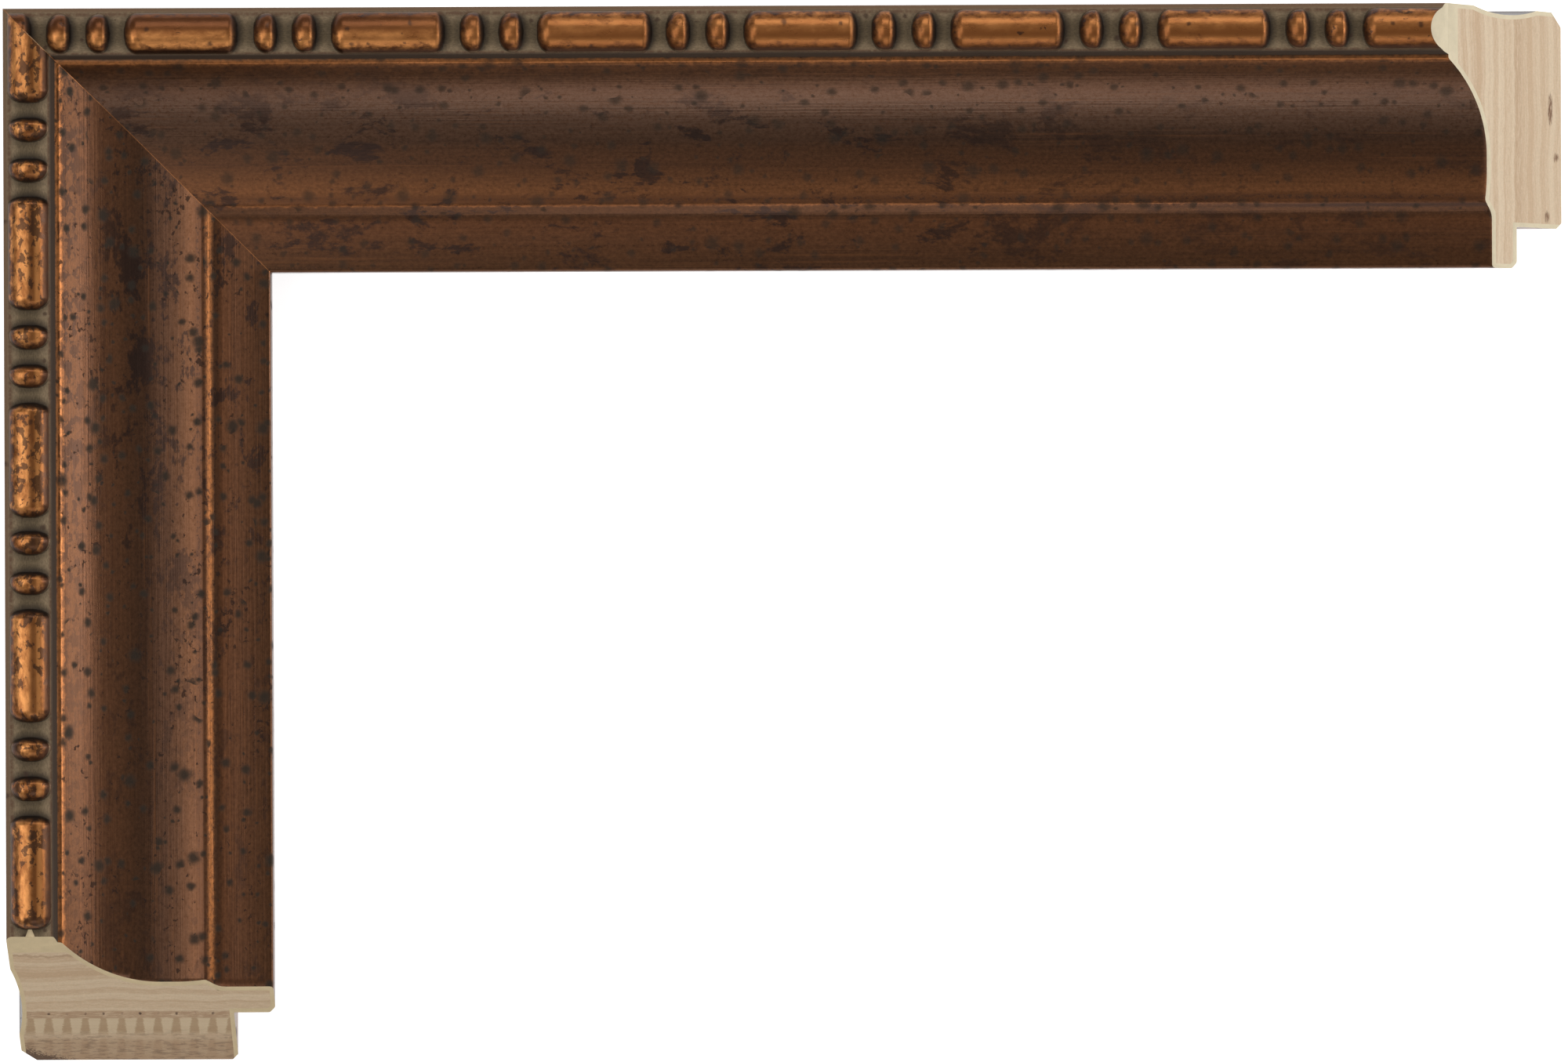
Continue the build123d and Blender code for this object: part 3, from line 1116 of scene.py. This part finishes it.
# The ornament string of one leg, standing on the coat
def buildString(name, leg, materials):
    pieces = stringPieces(leg)
    base = stripOutline()
    stations = np.arange(-string["overrun"], leg["length"] + string["overrun"], string["step"])
    side = leg["washShadeSide"]
    rise = stringRise(stations[:, None], base[None, :, 0], pieces, side)
    onTop = (base[:, 1] > string["stripTop"] - string["topBand"])[None, :]
    rings = np.repeat(base[None], len(stations), axis=0)
    rings[:, :, 1] += np.where(onTop, rise, 0.0)
    work = sweepRings(rings, stations, leg["hand"])
    sawEnds(work, leg)
    piece = makePiece(name, work, leg, materials, string["sharp"])
    mesh = piece.data
    place = np.empty(len(mesh.vertices) * 3)
    mesh.vertices.foreach_get("co", place)
    place = place.reshape(-1, 3) / mm
    heights = np.clip(place[:, 2] - string["stripTop"], 0, None)
    mesh.attributes.new("rise", "FLOAT", "POINT").data.foreach_set("value", heights.astype(np.float32))
    # Dark wash and painted shadow beside each piece: strongest in front of it, weaker behind it
    shade = np.zeros(len(place))
    for reach in string["washShadeSteps"]:
        for way, strength in ((-side, 1.0), (side, string["rearShade"])):
            beside = stringRise(place[:, 0] + way * reach, place[:, 1] * leg["hand"], pieces, side)
            above = beside - heights - string["washShadeStart"]
            shade += strength * np.clip(above / string["washShadeDepth"], 0, 1)
    shade = np.clip(shade / len(string["washShadeSteps"]), 0, 1)
    mesh.attributes.new("leeShade", "FLOAT", "POINT").data.foreach_set("value", shade.astype(np.float32))
    return piece


# Burr of composition torn up by the saw at the end of the strip: sizes and place in millimetres
burr = {"across": 5.0, "foot": 0.95, "tip": 0.3, "length": 1.7, "flat": 0.55, "sides": 16}


def buildBurr(name, leg, material):
    work = bmesh.new()
    bmesh.ops.create_cone(
        work,
        cap_ends=True,
        segments=burr["sides"],
        radius1=burr["foot"] * mm,
        radius2=burr["tip"] * mm,
        depth=burr["length"] * mm,
    )
    start = leg["length"] - string["stripTop"] - burr["length"] / 2
    place = Vector((start, leg["hand"] * burr["across"], string["stripTop"])) * mm
    turn = Matrix.Rotation(-math.pi / 2, 4, "Y")
    work.transform(Matrix.Translation(place) @ Matrix.Diagonal((1, 1, burr["flat"], 1)) @ turn)
    return makePiece(name, work, leg, [material], string["sharp"])


for key, leg in legs.items():
    cream = makeComposition(leg)
    bronze = makeFaceBronze(leg)
    coat = buildCoat(key + "LegCoat", leg, [bronze, cream])
    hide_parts(key + "_leg_coat")
    ornament = buildString(key + "LegString", leg, [makeStringBronze(leg), cream])
    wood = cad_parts[key + "_leg_wood"]
    wood.data.materials.clear()
    wood.data.materials.append(makeSawnWood(leg, key + "LegWood"))
    if key == "short":
        buildBurr(key + "LegBurr", leg, cream)
    print(key, "leg built:", len(coat.data.polygons), "and", len(ornament.data.polygons), "faces")

# Studio: white floor, softboxes round the object, a dim sky
studio = {
    "floorSize": 30.0,
    "floor": tone(244, 244, 244),
    "floorDrop": 0.0002,
    "floorRoughness": 0.9,
    "floorGlow": 0.8,
    "sky": 0.18,
    "boxes": {  # direction, height angle, distance, width, height, radiance
        "right": (1.0, 19.0, 1.3, 0.26, 0.64, 7.0),
        "rightWide": (0.0, 19.0, 1.3, 1.1, 0.64, 0.8),
        "rightBack": (35.0, 19.0, 1.3, 0.5, 0.64, 3.0),
        "rightFront": (-40.0, 19.0, 1.3, 0.5, 0.64, 1.2),
        "near": (-87.0, 36.5, 1.3, 0.6, 0.58, 1.68),
        "over": (172.0, 64.0, 1.5, 1.0, 0.7, 1.6),
        "left": (190.0, 38.0, 1.3, 0.9, 0.5, 2.3),
        "far": (90.0, 40.0, 1.3, 0.9, 0.5, 2.2),
    },
}


def buildFloor():
    half = studio["floorSize"] / 2
    mesh = bpy.data.meshes.new("floor")
    corners = [(-half, -half, 0), (half, -half, 0), (half, half, 0), (-half, half, 0)]
    mesh.from_pydata(corners, [], [(0, 1, 2, 3)])
    floor = bpy.data.objects.new("floor", mesh)
    floor.location.z = -studio["floorDrop"]
    scene.collection.objects.link(floor)
    material, tree, shader = startMaterial("floorWhite")
    fill(shader, {"Base Color": studio["floor"], "Roughness": studio["floorRoughness"]})
    feed(shader.inputs["Emission Color"], (1, 1, 1, 1))
    path = addNode(tree, "ShaderNodeLightPath")
    seen = most(path.outputs["Is Camera Ray"], path.outputs["Is Transmission Ray"])
    seen = most(seen, path.outputs["Is Glossy Ray"])
    feed(shader.inputs["Emission Strength"], times(seen, studio["floorGlow"]))
    mesh.materials.append(material)


def buildLights():
    for name, (azimuth, elevation, distance, width, height, radiance) in studio["boxes"].items():
        lamp = bpy.data.lights.new(name, "AREA")
        lamp.shape = "RECTANGLE"
        lamp.size, lamp.size_y = width, height
        lamp.energy = radiance * math.pi * width * height
        box = bpy.data.objects.new(name, lamp)
        turn, lift = math.radians(azimuth), math.radians(elevation)
        reach = distance * math.cos(lift)
        box.location = (reach * math.cos(turn), reach * math.sin(turn), distance * math.sin(lift))
        box.rotation_euler = (-box.location).to_track_quat("-Z", "Y").to_euler()
        scene.collection.objects.link(box)
    world = bpy.data.worlds.new("sky")
    world.use_nodes = True
    sky = world.node_tree.nodes["Background"]
    sky.inputs["Color"].default_value = (1, 1, 1, 1)
    sky.inputs["Strength"].default_value = studio["sky"]
    scene.world = world


# Camera straight above, as the photograph was taken: millimetres, and pixels of the photograph
camera = {
    "x": -1.61,
    "y": 1.2,
    "height": moulding["quirkHeight"] + 1273.0,
    "focal": 7900.0,
    "imageWidth": 2000.0,
    "sensor": 36.0,
    "roll": 0.004,
}


def buildCamera():
    data = bpy.data.cameras.new("camera")
    data.sensor_fit = "HORIZONTAL"
    data.sensor_width = camera["sensor"]
    data.lens = data.sensor_width * camera["focal"] / camera["imageWidth"]
    eye = bpy.data.objects.new("camera", data)
    eye.location = (camera["x"] * mm, camera["y"] * mm, camera["height"] * mm)
    eye.rotation_euler = (0, 0, -camera["roll"])
    scene.collection.objects.link(eye)
    scene.camera = eye


buildFloor()
buildLights()
buildCamera()
scene.view_settings.view_transform = "Standard"
print("studio ready")
